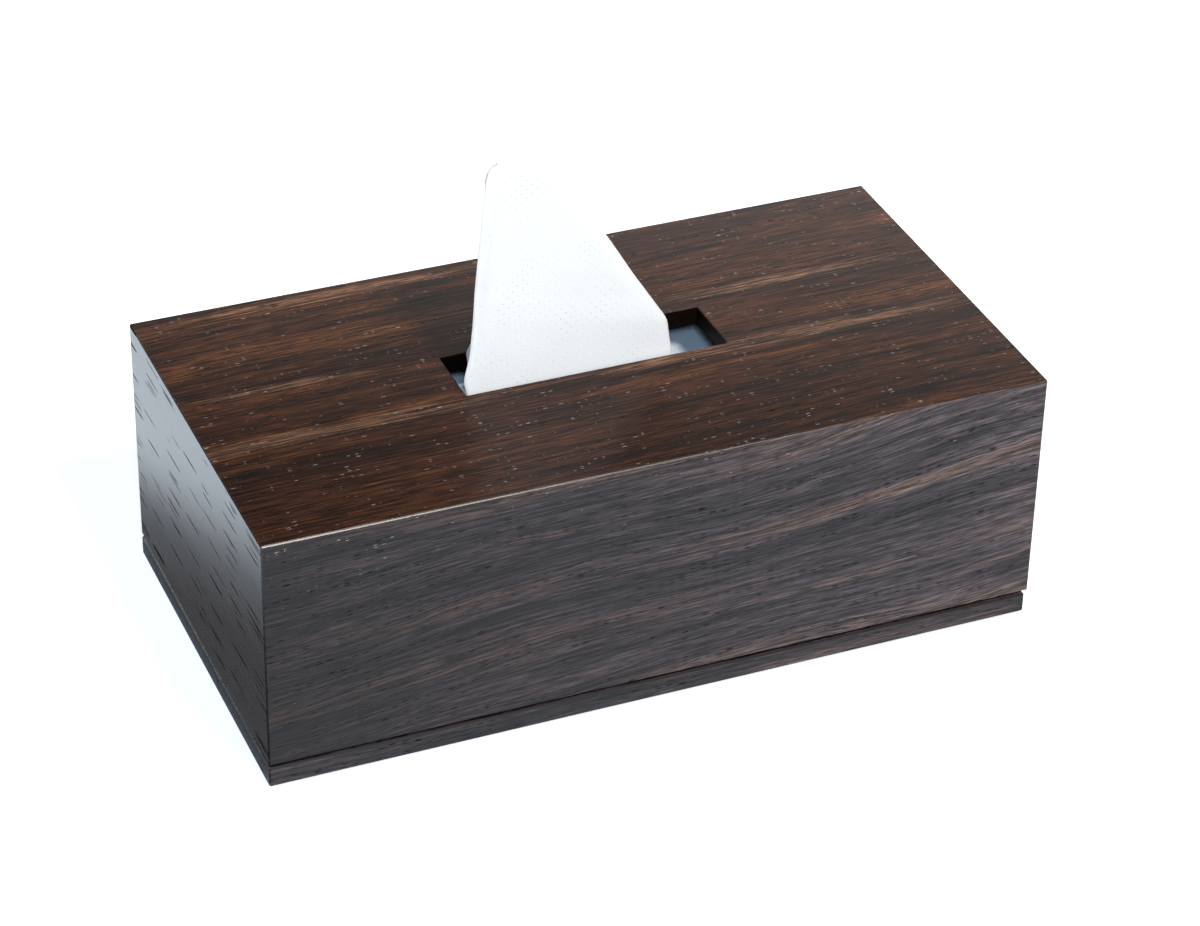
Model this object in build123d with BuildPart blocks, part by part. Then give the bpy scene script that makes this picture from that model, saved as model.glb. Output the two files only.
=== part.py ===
from build123d import *
import os

# A tissue box with a drawer. A mitred cover of veneered boards, open at its right
# end, stands over a base board that is the bottom of a drawer. The drawer holds the
# stack of tissues and slides out to the right on runners, and tissues are pulled up
# through a slot in the cover's top.
#
# Frame, in millimetres: X along the box, +X the way the drawer opens; -Y the front;
# Z up from the surface that the box stands on; the origin under the box's centre.

os.makedirs("parts", exist_ok=True)

# ---------------------------------------------------------------- driving sizes

# Whole box
box_length = 260.0
box_depth = 135.0
cover_height = 81.0
base_thickness = 7.0
pad_thickness = 1.0
shadow_gap = 1.0  # dark line between the base board and the cover

# Cover
board = 6.0  # veneered board of the walls and the top
arris = 0.5  # flat that breaks each sharp outer edge
lipping = 1.0  # edge strip at the cover's open end
slot_length = 89.0
slot_width = 24.0
slot_offset = 0.9  # the slot's centre lies this far behind the middle
slot_corner = 0.5
corner_block_leg = 9.0
top_block_leg = 8.0
top_block_length = 45.0
top_block_spacing = 130.0

# Runners that carry the drawer
runner_height = 5.0
runner_depth = 3.2
runner_lead_in = 1.0
runner_end_setback = 16.0  # from the drawer front's inner face
runner_screws_each = 2

# Drawer
drawer_reveal = 1.0  # the drawer front lies this far inside the open end
drawer_front_thickness = 7.0
drawer_side_thickness = 7.0
drawer_side_height = 36.0
drawer_back_thickness = 6.0
dovetails = 3
tail_width = 6.6  # where the tail leaves the side
tail_flare = 1.0  # added to each side of a tail over the joint
finger_notch_radius = 12.0

# Clearances
end_clearance = 0.5  # drawer's back end to the cover's left end wall
side_clearance = 0.3  # drawer side to wall, and runner tip to groove
front_clearance = 0.5  # drawer front to the walls and the top
groove_seat = 0.1  # under the runner, where the cover rests on the drawer
groove_play = 0.3  # over the runner
stop_clearance = 0.4  # runner's end to the closed end of its groove
fastener_clearance = 0.05  # round each screw, dowel and disc
block_clearance = 2.0  # drawer side to the corner block above it

# Fasteners, catch and feet
screw_head_angle = 90.0
base_screw_radius = 1.25
base_screw_head = 2.5
base_screw_length = 16.0
base_screws_each = 2
runner_screw_radius = 0.9
runner_screw_head = 1.9
runner_screw_length = 7.5
dowel_radius = 1.5
dowel_length = 11.0
dowel_in_front = 4.5  # how far the dowel goes into the drawer front
catch_radius = 4.0
catch_thickness = 2.0
catch_spacing = 60.0
pad_radius = 7.0
pad_inset = 16.0

# Stack of tissues
stack_back_room = 16.5  # from the drawer's back
stack_front_room = 21.0  # to the drawer's front, for fingers
stack_side_room = 5.2  # to each side of the drawer
stack_round = 3.0

# Sheet in the slot
tissue_thickness = 0.8  # two plies with air between them
tissue_clearance = 0.35  # to the slot's front edge and left end
tissue_rear_room = 4.85  # to the slot's rear edge
tissue_right_room = 18.5  # to the slot's right end
tissue_bow = 2.0  # how far each leg of the sheet bows inwards
tissue_tip_rise = 75.0  # above the cover
tissue_tip_back = 7.35  # behind the front leg
tissue_tip_round = 0.8
tissue_tip_in = 7.65  # from the left edge in the slot
tissue_tip_width = 19.5
tissue_tip_left_corner = 3.0
tissue_tip_right_corner = 9.0
tissue_tip_margin = 1.0  # of the outline over the fold
tissue_left_bend_rise = 22.0  # where its left edge turns upright
tissue_left_bend_in = 3.65
tissue_right_bend_rise = 13.0  # where its slanting edge turns down
tissue_right_bend_in = 2.5
folded_depth = 5.3  # each half of the sheet that lies folded under the slot
folded_right_room = 4.5  # from the lower half to the slot's right end
folded_headroom = 1.6  # under the cover's top
stack_clearance = 0.8  # folded sheet to the stack under it

# ---------------------------------------------------------------- worked-out places

base_bottom = pad_thickness
base_top = base_bottom + base_thickness
cover_bottom = base_top + shadow_gap
cover_top = cover_bottom + cover_height
ceiling = cover_top - board

half_length = box_length / 2
half_depth = box_depth / 2
wall_inner = half_depth - board
end_inner = -(half_length - board)
boards_right = half_length - lipping

base_right = half_length - drawer_reveal
front_inner = base_right - drawer_front_thickness
drawer_left = end_inner + end_clearance
back_right = drawer_left + drawer_back_thickness
side_outer = wall_inner - side_clearance
side_inner = side_outer - drawer_side_thickness
side_top = base_top + drawer_side_height

tail_pitch = drawer_side_height / dovetails
tail_centres = [base_top + tail_pitch * (n + 0.5) for n in range(dovetails)]
# The groove runs out through the middle tail, so it never cuts a pin.
groove_middle = tail_centres[dovetails // 2]
runner_bottom = groove_middle - runner_height / 2
groove_bottom = runner_bottom - groove_seat
groove_top = runner_bottom + runner_height + groove_play
runner_right = front_inner - runner_end_setback
runner_left = end_inner + end_clearance
groove_right = runner_right + stop_clearance
groove_depth = runner_depth  # the side stands off the wall by the clearance at its floor

corner_block_bottom = side_top + block_clearance
slot_front = slot_offset - slot_width / 2

stack_left = back_right + stack_back_room
stack_length = front_inner - stack_front_room - stack_left
stack_width = 2 * (side_inner - stack_side_room)
stack_top = ceiling - folded_headroom - 2 * folded_depth - stack_clearance
stack_height = stack_top - base_top

tissue_left = -slot_length / 2 + tissue_clearance
tissue_right = slot_length / 2 - tissue_right_room
tissue_bottom = stack_top + stack_clearance
tissue_tip = cover_top + tissue_tip_rise
front_leg_y = slot_front + tissue_clearance + tissue_thickness / 2
rear_leg_y = slot_front + slot_width - tissue_rear_room - tissue_thickness / 2
tissue_tip_y = front_leg_y + tissue_tip_back
tissue_depth = rear_leg_y - front_leg_y
folded_right = slot_length / 2 - folded_right_room


# ---------------------------------------------------------------- shared shapes


def wall_section(side):
    """Section of a long wall across the box; side is -1 for the front, 1 for the rear."""
    outer, inner = side * half_depth, side * wall_inner
    eased = outer - side * arris
    with BuildSketch(Plane.YZ) as section:
        with BuildLine():
            Polyline(
                (eased, cover_bottom),
                (outer, cover_bottom + arris),
                (outer, cover_top - arris),
                (outer - side * arris / 2, cover_top - arris / 2),
                (inner, ceiling),
                (inner, cover_bottom),
                close=True,
            )
        make_face()
    return section.sketch


def long_wall(side):
    """A long wall, mitred to the top along it and to the left end wall."""
    outer, inner = side * half_depth, side * wall_inner
    with BuildPart() as wall:
        extrude(wall_section(side), amount=half_length, both=True)
        with BuildSketch(Plane.XY.offset(cover_bottom)):
            with BuildLine():
                Polyline(
                    (-half_length + arris, outer),
                    (boards_right, outer),
                    (boards_right, inner),
                    (end_inner, inner),
                    (-half_length + arris / 2, outer - side * arris / 2),
                    close=True,
                )
            make_face()
        extrude(amount=cover_height, mode=Mode.INTERSECT)
        with Locations(*runner_screw_places(side)):
            Hole(
                runner_screw_radius + fastener_clearance,
                depth=runner_screw_length - runner_depth + fastener_clearance,
            )
    return wall.part


def runner_screw_places(side):
    """Where a runner's screws enter the wall, each place facing into the box."""
    length = runner_right - runner_left
    pitch = length / runner_screws_each
    return [
        Plane(
            origin=(runner_left + pitch * (n + 0.5), side * wall_inner, groove_middle),
            z_dir=(0, -side, 0),
        )
        for n in range(runner_screws_each)
    ]


def side_lipping(side):
    """The edge strip on a long wall at the open end, eased on its outer corner."""
    outer, inner = side * half_depth, side * wall_inner
    with BuildPart() as strip:
        extrude(wall_section(side), amount=half_length)
        with BuildSketch(Plane.XY.offset(cover_bottom)):
            with BuildLine():
                Polyline(
                    (boards_right, outer),
                    (half_length - arris, outer),
                    (half_length, outer - side * arris),
                    (half_length, inner),
                    (boards_right, inner),
                    close=True,
                )
            make_face()
        extrude(amount=cover_height, mode=Mode.INTERSECT)
    return strip.part


def top_section():
    """Section of the top across the box, mitred to both long walls."""
    with BuildSketch(Plane.YZ) as section:
        with BuildLine():
            Polyline(
                (-wall_inner, ceiling),
                (-half_depth + arris / 2, cover_top - arris / 2),
                (-half_depth + arris, cover_top),
                (half_depth - arris, cover_top),
                (half_depth - arris / 2, cover_top - arris / 2),
                (wall_inner, ceiling),
                close=True,
            )
        make_face()
    return section.sketch


def runner(side):
    """A runner strip with countersunk screw holes and an eased leading end."""
    with BuildPart() as strip:
        with BuildSketch(Plane.XZ.offset(-side * wall_inner)):
            with Locations(((runner_left + runner_right) / 2, groove_middle)):
                Rectangle(runner_right - runner_left, runner_height)
            chamfer(vertices().group_by(Axis.X)[-1], runner_lead_in)
        extrude(amount=side * runner_depth)
        with Locations(*[place.offset(runner_depth) for place in runner_screw_places(side)]):
            CounterSinkHole(
                runner_screw_radius + fastener_clearance,
                runner_screw_head + fastener_clearance,
                depth=runner_depth,
                counter_sink_angle=screw_head_angle,
            )
    return strip.part


def pin_section():
    """Pins between the tails of the drawer's rear corners, seen from the front."""
    left, right = drawer_left, back_right
    narrow, wide = tail_width / 2, tail_width / 2 + tail_flare
    with BuildSketch(Plane.XZ) as section:
        with Locations(((left + right) / 2, (base_top + side_top) / 2)):
            Rectangle(drawer_back_thickness, drawer_side_height)
        for centre in tail_centres:
            with BuildLine():
                Polyline(
                    (left, centre - wide),
                    (right, centre - narrow),
                    (right, centre + narrow),
                    (left, centre + wide),
                    close=True,
                )
            make_face(mode=Mode.SUBTRACT)
    return section.sketch


def dowel_places(side):
    """The middles of the dowels between the drawer front and a side."""
    middle = front_inner + dowel_in_front - dowel_length / 2
    return [
        Plane(origin=(middle, side * (side_outer + side_inner) / 2, height), z_dir=(1, 0, 0))
        for height in (tail_centres[0], tail_centres[-1])
    ]


def side_screw_places(side):
    """Where screws come up through the base board into a drawer side."""
    pitch = (front_inner - back_right) / base_screws_each
    return [
        Plane(
            origin=(
                back_right + pitch * (n + 0.5),
                side * (side_outer + side_inner) / 2,
                base_bottom,
            ),
            z_dir=(0, 0, -1),
        )
        for n in range(base_screws_each)
    ]


def front_screw_places():
    """Where screws come up through the base board into the drawer front."""
    return [
        Plane(
            origin=((front_inner + base_right) / 2, side * wall_inner / 2, base_bottom),
            z_dir=(0, 0, -1),
        )
        for side in (-1, 1)
    ]


def drawer_side(side):
    """A drawer side: groove for the runner outside, tails at its rear end."""
    with BuildPart() as plank:
        with BuildSketch(Plane.XZ.offset(-side * side_outer)):
            with Locations(((drawer_left + front_inner) / 2, (base_top + side_top) / 2)):
                Rectangle(front_inner - drawer_left, drawer_side_height)
        extrude(amount=side * drawer_side_thickness)
        with BuildSketch(Plane.XZ.offset(-side * side_outer)):
            with Locations(((drawer_left + groove_right) / 2, (groove_bottom + groove_top) / 2)):
                Rectangle(groove_right - drawer_left, groove_top - groove_bottom)
        extrude(amount=side * groove_depth, mode=Mode.SUBTRACT)
        extrude(pin_section(), amount=half_depth, both=True, mode=Mode.SUBTRACT)
        with Locations(*dowel_places(side)):
            Cylinder(
                dowel_radius + fastener_clearance,
                dowel_length + 2 * fastener_clearance,
                mode=Mode.SUBTRACT,
            )
        with Locations(*[place.offset(-base_thickness) for place in side_screw_places(side)]):
            Hole(
                base_screw_radius + fastener_clearance,
                depth=base_screw_length - base_thickness + fastener_clearance,
            )
    return plank.part


def countersunk_screw(radius, head, length):
    """A countersunk screw, its head's face at the origin and its point down -Z."""
    with BuildPart() as screw:
        with BuildSketch(Plane.XZ):
            with BuildLine():
                Polyline(
                    (0, 0),
                    (head, 0),
                    (radius, radius - head),
                    (radius, -length),
                    (0, -length),
                    close=True,
                )
            make_face()
        revolve(axis=Axis.Z)
    return screw.part


# ---------------------------------------------------------------- cover

with BuildPart() as front_wall:
    add(long_wall(-1))

with BuildPart() as rear_wall:
    add(long_wall(1))

with BuildPart() as left_end_wall:
    with BuildSketch(Plane.XZ):
        with BuildLine():
            Polyline(
                (-half_length + arris, cover_bottom),
                (-half_length, cover_bottom + arris),
                (-half_length, cover_top - arris),
                (-half_length + arris / 2, cover_top - arris / 2),
                (end_inner, ceiling),
                (end_inner, cover_bottom),
                close=True,
            )
        make_face()
    extrude(amount=half_depth, both=True)
    with BuildSketch(Plane.XY.offset(cover_bottom)):
        with BuildLine():
            Polyline(
                (-half_length, -half_depth + arris),
                (-half_length + arris / 2, -half_depth + arris / 2),
                (end_inner, -wall_inner),
                (end_inner, wall_inner),
                (-half_length + arris / 2, half_depth - arris / 2),
                (-half_length, half_depth - arris),
                close=True,
            )
        make_face()
    extrude(amount=cover_height, mode=Mode.INTERSECT)
    with BuildSketch(Plane.YZ.offset(end_inner)):
        with Locations((-catch_spacing / 2, groove_middle), (catch_spacing / 2, groove_middle)):
            Circle(catch_radius + fastener_clearance)
    extrude(amount=-catch_thickness - fastener_clearance, mode=Mode.SUBTRACT)

with BuildPart() as top_panel:
    extrude(top_section(), amount=half_length, both=True)
    with BuildSketch(Plane.XZ):
        with BuildLine():
            Polyline(
                (end_inner, ceiling),
                (-half_length + arris / 2, cover_top - arris / 2),
                (-half_length + arris, cover_top),
                (boards_right, cover_top),
                (boards_right, ceiling),
                close=True,
            )
        make_face()
    extrude(amount=half_depth, both=True, mode=Mode.INTERSECT)
    with BuildSketch(Plane.XY.offset(cover_top)) as slot:
        with Locations((0, slot_offset)):
            RectangleRounded(slot_length, slot_width, slot_corner)
    extrude(amount=-board, mode=Mode.SUBTRACT)
    slot_rim = edges().filter_by_position(Axis.Z, cover_top, cover_top).filter_by(
        lambda edge: abs(edge.center().X) < slot_length / 2 + slot_corner
        and abs(edge.center().Y - slot_offset) < slot_width / 2 + slot_corner
    )
    chamfer(slot_rim, arris / 2)

with BuildPart() as front_edge_lipping:
    add(side_lipping(-1))

with BuildPart() as rear_edge_lipping:
    add(side_lipping(1))

with BuildPart() as top_edge_lipping:
    extrude(top_section(), amount=half_length)
    with BuildSketch(Plane.XZ):
        with BuildLine():
            Polyline(
                (boards_right, ceiling),
                (boards_right, cover_top),
                (half_length - arris, cover_top),
                (half_length, cover_top - arris),
                (half_length, ceiling),
                close=True,
            )
        make_face()
    extrude(amount=half_depth, both=True, mode=Mode.INTERSECT)

with BuildPart() as corner_blocks:
    for side in (-1, 1):
        corner = side * wall_inner
        with BuildSketch(Plane.XY.offset(corner_block_bottom)):
            with BuildLine():
                Polyline(
                    (end_inner, corner),
                    (end_inner + corner_block_leg, corner),
                    (end_inner, corner - side * corner_block_leg),
                    close=True,
                )
            make_face()
        extrude(amount=ceiling - corner_block_bottom)

with BuildPart() as top_blocks:
    for middle in (-top_block_spacing / 2, top_block_spacing / 2):
        for side in (-1, 1):
            with BuildSketch(Plane.YZ.offset(middle)):
                with BuildLine():
                    Polyline(
                        (side * wall_inner, ceiling),
                        (side * (wall_inner - top_block_leg), ceiling),
                        (side * wall_inner, ceiling - top_block_leg),
                        close=True,
                    )
                make_face()
            extrude(amount=top_block_length / 2, both=True)

with BuildPart() as front_runner:
    add(runner(-1))

with BuildPart() as rear_runner:
    add(runner(1))

runner_screw = countersunk_screw(runner_screw_radius, runner_screw_head, runner_screw_length)

with BuildPart() as runner_screws:
    for side in (-1, 1):
        with Locations(*[place.offset(runner_depth) for place in runner_screw_places(side)]):
            add(runner_screw)

with BuildPart() as catch_magnets:
    for side in (-1, 1):
        with BuildSketch(Plane.YZ.offset(end_inner)):
            with Locations((side * catch_spacing / 2, groove_middle)):
                Circle(catch_radius)
        extrude(amount=-catch_thickness)

# ---------------------------------------------------------------- drawer

with BuildPart() as base_board:
    with BuildSketch(Plane.XY.offset(base_bottom)):
        with Locations(((base_right - half_length) / 2, 0)):
            Rectangle(base_right + half_length, box_depth)
    extrude(amount=base_thickness)
    chamfer(edges(), arris)
    with Locations(*side_screw_places(-1), *side_screw_places(1), *front_screw_places()):
        CounterSinkHole(
            base_screw_radius + fastener_clearance,
            base_screw_head + fastener_clearance,
            depth=base_thickness,
            counter_sink_angle=screw_head_angle,
        )

with BuildPart() as drawer_front:
    with BuildSketch(Plane.YZ.offset(front_inner)):
        with Locations((0, (base_top + ceiling - front_clearance) / 2)):
            Rectangle(
                2 * (wall_inner - front_clearance), ceiling - front_clearance - base_top
            )
        with Locations((0, ceiling - front_clearance)):
            Circle(finger_notch_radius, mode=Mode.SUBTRACT)
    extrude(amount=drawer_front_thickness)
    outline = faces().sort_by(Axis.X)[-1].edges() + faces().sort_by(Axis.X)[0].edges()
    chamfer(outline.filter_by(lambda edge: edge.center().Z > base_top + arris), arris)
    with Locations(*dowel_places(-1), *dowel_places(1)):
        Cylinder(
            dowel_radius + fastener_clearance,
            dowel_length + 2 * fastener_clearance,
            mode=Mode.SUBTRACT,
        )
    with Locations(*[place.offset(-base_thickness) for place in front_screw_places()]):
        Hole(
            base_screw_radius + fastener_clearance,
            depth=base_screw_length - base_thickness + fastener_clearance,
        )

with BuildPart() as front_drawer_side:
    add(drawer_side(-1))

with BuildPart() as rear_drawer_side:
    add(drawer_side(1))

with BuildPart() as drawer_back:
    with BuildSketch(Plane.YZ.offset(drawer_left)):
        with Locations((0, (base_top + side_top) / 2)):
            Rectangle(2 * side_inner, drawer_side_height)
    extrude(amount=drawer_back_thickness)
    extrude(pin_section(), amount=side_outer, both=True)
    with BuildSketch(Plane.YZ.offset(drawer_left)):
        with Locations((-catch_spacing / 2, groove_middle), (catch_spacing / 2, groove_middle)):
            Circle(catch_radius + fastener_clearance)
    extrude(amount=catch_thickness + fastener_clearance, mode=Mode.SUBTRACT)

with BuildPart() as front_dowels:
    for side in (-1, 1):
        with Locations(*dowel_places(side)):
            Cylinder(dowel_radius, dowel_length)

base_screw = countersunk_screw(base_screw_radius, base_screw_head, base_screw_length)

with BuildPart() as base_screws:
    with Locations(*side_screw_places(-1), *side_screw_places(1), *front_screw_places()):
        add(base_screw)

with BuildPart() as catch_discs:
    for side in (-1, 1):
        with BuildSketch(Plane.YZ.offset(drawer_left)):
            with Locations((side * catch_spacing / 2, groove_middle)):
                Circle(catch_radius)
        extrude(amount=catch_thickness)

foot_pads = []
for x_side in (-1, 1):
    for y_side in (-1, 1):
        centre = (
            x_side * (half_length - pad_inset),
            y_side * (half_depth - pad_inset),
        )
        with BuildPart() as foot_pad:
            with BuildSketch(Plane.XY):
                with Locations(centre):
                    Circle(pad_radius)
            extrude(amount=pad_thickness)
        foot_pads.append(foot_pad)

# ---------------------------------------------------------------- tissues

with BuildPart() as tissue_stack:
    with BuildSketch(Plane.XY.offset(base_top)):
        with Locations((stack_left + stack_length / 2, 0)):
            Rectangle(stack_length, stack_width)
    extrude(amount=stack_height)
    fillet(edges().filter_by(Axis.X), stack_round)

# The sheet in the slot is folded over at its tip. Its two legs run down through the
# slot, and the rest of it lies folded to and fro between them, over the stack.
with BuildPart() as pulled_tissue:
    with BuildSketch(Plane.YZ):
        with BuildLine():
            front_tip = (tissue_tip_y - tissue_tip_round, tissue_tip - tissue_tip_round)
            rear_tip = (tissue_tip_y + tissue_tip_round, tissue_tip - tissue_tip_round)
            Line((front_leg_y, tissue_bottom), (front_leg_y, cover_top))
            SagittaArc((front_leg_y, cover_top), front_tip, -tissue_bow)
            ThreePointArc(front_tip, (tissue_tip_y, tissue_tip), rear_tip)
            SagittaArc(rear_tip, (rear_leg_y, cover_top), -tissue_bow)
            Line((rear_leg_y, cover_top), (rear_leg_y, tissue_bottom))
            offset(amount=tissue_thickness / 2, side=Side.BOTH)
        make_face()
    extrude(amount=half_length, both=True)
    with BuildSketch(Plane.XZ):
        with BuildLine():
            Polyline(
                (tissue_left, tissue_bottom),
                (tissue_left, cover_top),
                (tissue_left + tissue_left_bend_in, cover_top + tissue_left_bend_rise),
                (tissue_left + tissue_tip_in, tissue_tip + tissue_tip_margin),
                (tissue_left + tissue_tip_in + tissue_tip_width, tissue_tip + tissue_tip_margin),
                (tissue_right - tissue_right_bend_in, cover_top + tissue_right_bend_rise),
                (tissue_right, cover_top),
                (tissue_right, tissue_bottom),
                close=True,
            )
        make_face()
        tip_corners = vertices().group_by(Axis.Y)[-1].sort_by(Axis.X)
        fillet(tip_corners[0], tissue_tip_left_corner)
        fillet(vertices().group_by(Axis.Y)[-1].sort_by(Axis.X)[-1], tissue_tip_right_corner)
    extrude(amount=half_depth, both=True, mode=Mode.INTERSECT)
    for level, right in ((0, folded_right), (1, tissue_right)):
        with BuildSketch(Plane.XY.offset(tissue_bottom + level * folded_depth)):
            with Locations(((tissue_left + right) / 2, (front_leg_y + rear_leg_y) / 2)):
                Rectangle(right - tissue_left, tissue_depth + tissue_thickness)
        extrude(amount=folded_depth)

# ---------------------------------------------------------------- files

pieces = {
    "front_wall": front_wall,
    "rear_wall": rear_wall,
    "left_end_wall": left_end_wall,
    "top_panel": top_panel,
    "front_edge_lipping": front_edge_lipping,
    "rear_edge_lipping": rear_edge_lipping,
    "top_edge_lipping": top_edge_lipping,
    "corner_blocks": corner_blocks,
    "top_blocks": top_blocks,
    "front_runner": front_runner,
    "rear_runner": rear_runner,
    "runner_screws": runner_screws,
    "catch_magnets": catch_magnets,
    "base_board": base_board,
    "drawer_front": drawer_front,
    "front_drawer_side": front_drawer_side,
    "rear_drawer_side": rear_drawer_side,
    "drawer_back": drawer_back,
    "front_dowels": front_dowels,
    "base_screws": base_screws,
    "catch_discs": catch_discs,
    "tissue_stack": tissue_stack,
    "pulled_tissue": pulled_tissue,
}
pieces |= {f"foot_pad_{n + 1}": pad for n, pad in enumerate(foot_pads)}

for label, piece in pieces.items():
    piece.part.label = label
    export_step(piece.part, f"parts/{label}.step")
    print(label, round(piece.part.volume, 1))
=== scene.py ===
import logging
import math
from dataclasses import dataclass
from enum import Enum
from functools import partial
from typing import Any, Callable

import bpy
from bpy.types import Material, Node, NodeSocket, NodeTree, Object
from mathutils import Matrix, Vector


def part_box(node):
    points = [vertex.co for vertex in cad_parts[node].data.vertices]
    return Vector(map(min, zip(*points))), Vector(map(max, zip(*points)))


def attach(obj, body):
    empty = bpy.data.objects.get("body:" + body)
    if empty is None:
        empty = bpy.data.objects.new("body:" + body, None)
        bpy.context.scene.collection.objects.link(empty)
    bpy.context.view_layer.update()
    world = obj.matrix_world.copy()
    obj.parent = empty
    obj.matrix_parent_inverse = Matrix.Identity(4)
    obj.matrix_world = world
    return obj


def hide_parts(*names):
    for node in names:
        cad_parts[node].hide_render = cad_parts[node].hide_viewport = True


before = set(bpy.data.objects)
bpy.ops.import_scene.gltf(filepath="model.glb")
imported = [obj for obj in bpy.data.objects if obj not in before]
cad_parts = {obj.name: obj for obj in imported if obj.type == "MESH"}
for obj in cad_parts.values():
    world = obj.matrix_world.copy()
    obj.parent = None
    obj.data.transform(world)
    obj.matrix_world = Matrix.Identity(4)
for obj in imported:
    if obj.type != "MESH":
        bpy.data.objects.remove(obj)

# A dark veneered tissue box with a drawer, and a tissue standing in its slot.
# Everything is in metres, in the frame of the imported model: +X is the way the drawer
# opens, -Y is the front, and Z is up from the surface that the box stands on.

LOG = logging.getLogger("tissue_box")
MM = 0.001
SMOOTH = {"interpolation_type": "SMOOTHSTEP"}

Point = tuple[float, float, float]
Faces = list[tuple[int, ...]]
Row = tuple[float, float, float, float]  # y, z, and the left and the right edge
Curve = tuple[tuple[float, float], ...]
Stops = tuple[tuple[float, str], ...]
Source = Node | NodeSocket  # a node stands for its first output

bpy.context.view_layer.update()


# ------------------------------------------------------------------ small helpers


def linear(code: str) -> tuple[float, float, float, float]:
    """Turns an sRGB hex colour into linear RGBA.

    Args:
        code: the colour, as in "#5A3C28".

    Returns:
        Red, green, blue and an alpha of 1.
    """
    parts = [int(code[n : n + 2], 16) / 255 for n in (1, 3, 5)]
    r, g, b = (p / 12.92 if p <= 0.04045 else ((p + 0.055) / 1.055) ** 2.4 for p in parts)
    return r, g, b, 1.0


def add_node(
    tree: NodeTree, kind: str, inputs: dict[Any, Any] | None = None, **settings: Any
) -> Node:
    """Adds one node to a tree.

    Args:
        tree: the material's, world's or modifier's tree.
        kind: the node's type name, a shader node's without its "ShaderNode".
        inputs: what each input gets, by its name or number: a constant, or a link from a
            socket or a node.
        settings: the node's own properties.

    Returns:
        The new node.
    """
    node = tree.nodes.new(kind if "Node" in kind else f"ShaderNode{kind}")
    for name, value in settings.items():
        setattr(node, name, value)
    for socket, value in (inputs or {}).items():
        if isinstance(value, Node):
            value = value.outputs[0]
        if isinstance(value, NodeSocket):
            tree.links.new(value, node.inputs[socket])
        else:
            node.inputs[socket].default_value = value
    return node


def set_ramp(node: Node, stops: Stops) -> None:
    """Gives a colour ramp its stops.

    Args:
        node: the ramp.
        stops: places from 0 to 1, each with an sRGB hex colour.
    """
    elements = node.color_ramp.elements
    while len(elements) < len(stops):
        elements.new(0.5)
    for element, (place, code) in zip(elements, stops):
        element.position = place
        element.color = linear(code)


def in_millimetres(tree: NodeTree, output: str = "Object") -> Node:
    """Adds the place on a piece, in millimetres.

    Args:
        tree: the material's tree.
        output: the texture coordinate that gives it in metres.

    Returns:
        The node that gives it in millimetres.
    """
    place = add_node(tree, "TexCoord").outputs[output]
    return add_node(tree, "VectorMath", {0: place, "Scale": 1 / MM}, operation="SCALE")


def mesh_piece(name: str, points: list[Point], faces: Faces, smooth: bool = True) -> Object:
    """Makes a mesh object at the origin from points in millimetres.

    Args:
        name: the piece's name.
        points: its vertices, in millimetres.
        faces: vertex numbers of each face.
        smooth: whether its faces shade smoothly.

    Returns:
        The new object.
    """
    mesh = bpy.data.meshes.new(name)
    mesh.from_pydata([tuple(c * MM for c in p) for p in points], [], faces)
    mesh.polygons.foreach_set("use_smooth", [smooth] * len(mesh.polygons))
    mesh.update()
    piece = bpy.data.objects.new(name, mesh)
    bpy.context.scene.collection.objects.link(piece)
    return piece


def strips(rows: int, columns: int, closed: bool, first: int = 0) -> Faces:
    """Gives the faces between rows of points.

    Args:
        rows: how many rows there are.
        columns: how many points each row has.
        closed: whether a row runs round to its own start.
        first: number of the first point.

    Returns:
        The point numbers of each face.
    """
    return [
        (a + n, a + (n + 1) % columns, a + columns + (n + 1) % columns, a + columns + n)
        for a in range(first, first + (rows - 1) * columns, columns)
        for n in range(columns if closed else columns - 1)
    ]


def half_turn(steps: int) -> list[tuple[float, float]]:
    """Gives the sine and the cosine of the steps between the ends of a half turn."""
    turns = [math.pi * n / steps for n in range(1, steps)]
    return [(math.sin(turn), math.cos(turn)) for turn in turns]


def baked(piece: Object) -> Object:
    """Turns a piece's modifiers into a plain mesh.

    Args:
        piece: the object whose modifiers are applied.

    Returns:
        The same object, without modifiers.
    """
    graph = bpy.context.evaluated_depsgraph_get()
    plain = bpy.data.meshes.new_from_object(piece.evaluated_get(graph), depsgraph=graph)
    piece.modifiers.clear()
    piece.data = plain
    plain.name = piece.name
    return piece


def dress(nodes: list[str], material: Material) -> None:
    """Gives CAD nodes one material.

    Args:
        nodes: the CAD nodes' names.
        material: their finish.
    """
    for name in nodes:
        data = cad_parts[name].data
        data.materials.clear()
        data.materials.append(material)
        LOG.info("%s: %s", name, material.name)


def dress_faces(name: str, material: Material, chosen: Callable[[Vector, Vector], bool]) -> None:
    """Gives some faces of a CAD node a second material.

    Args:
        name: the CAD node's name.
        material: the finish of the chosen faces.
        chosen: tells from a face's centre in millimetres and its normal whether it is one.
    """
    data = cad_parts[name].data
    data.materials.append(material)
    number = len(data.materials) - 1
    for polygon in data.polygons:
        if chosen(polygon.center / MM, polygon.normal):
            polygon.material_index = number


# ------------------------------------------------------------------ finishes


class Grain(Enum):
    """The way the fibres run, as the turn that brings them to a pattern's first axis."""

    ALONG_X = (0.0, 0.0, 0.0)
    ALONG_Y = (0.0, 0.0, -math.pi / 2)
    ALONG_Z = (0.0, math.pi / 2, 0.0)


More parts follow.
